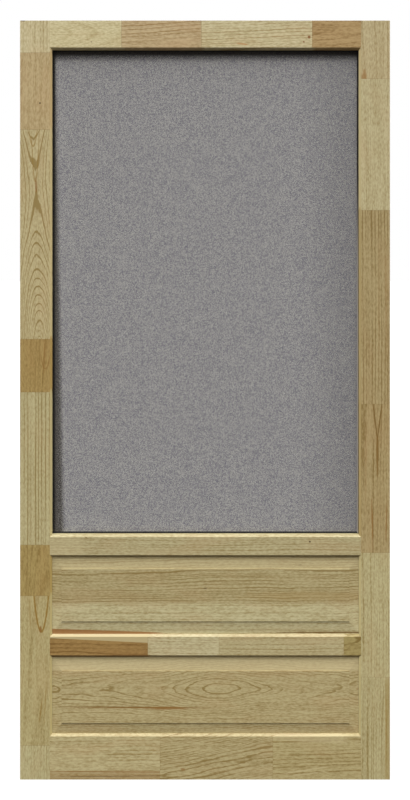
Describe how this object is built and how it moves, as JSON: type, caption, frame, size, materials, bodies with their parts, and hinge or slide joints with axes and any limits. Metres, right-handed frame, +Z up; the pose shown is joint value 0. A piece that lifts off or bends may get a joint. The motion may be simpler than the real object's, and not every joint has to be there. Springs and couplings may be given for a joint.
{
  "type": "wooden screen door leaf",
  "caption": "Unfinished pine screen door leaf: a large grey insect screen above two wide raised panels, in a finger-jointed frame with bevelled inner edges.",
  "frame": {"origin": "on the hinge edge of the leaf, half-way through its thickness, level with its bottom", "axes": "+X from the hinge edge to the latch edge, -Y out of the front face, +Z up"},
  "size_m": [0.9906, 0.0286, 2.032],
  "materials": {
    "pine_frame": "planed, unfinished",
    "pine_panel": "planed, unfinished",
    "pine_stop": "planed, unfinished",
    "black_vinyl": "matt",
    "charcoal_screen": "vinyl-coated weave"
  },
  "bodies": {
    "root": {"left_stile_1": "pine_frame", "left_stile_2": "pine_frame", "left_stile_3": "pine_frame", "left_stile_4": "pine_frame", "left_stile_5": "pine_frame", "left_stile_6": "pine_frame", "left_stile_7": "pine_frame", "left_stile_8": "pine_frame", "right_stile_1": "pine_frame", "right_stile_2": "pine_frame", "right_stile_3": "pine_frame", "right_stile_4": "pine_frame", "right_stile_5": "pine_frame", "right_stile_6": "pine_frame", "bottom_rail_1": "pine_frame", "bottom_rail_2": "pine_frame", "bottom_rail_3": "pine_frame", "mid_rail_1": "pine_frame", "mid_rail_2": "pine_frame", "mid_rail_3": "pine_frame", "mid_rail_4": "pine_frame", "top_rail_1": "pine_frame", "top_rail_2": "pine_frame", "top_rail_3": "pine_frame", "top_rail_4": "pine_frame", "lock_rail": "pine_frame", "lower_panel": "pine_panel", "upper_panel_lower_board": "pine_panel", "upper_panel_upper_board": "pine_panel", "screen_stop_left": "pine_stop", "screen_spline_left": "black_vinyl", "screen_stop_right": "pine_stop", "screen_spline_right": "black_vinyl", "screen_stop_bottom": "pine_stop", "screen_spline_bottom": "black_vinyl", "screen_stop_top": "pine_stop", "screen_spline_top": "black_vinyl", "insect_screen": "charcoal_screen"}
  },
  "joints": []
}
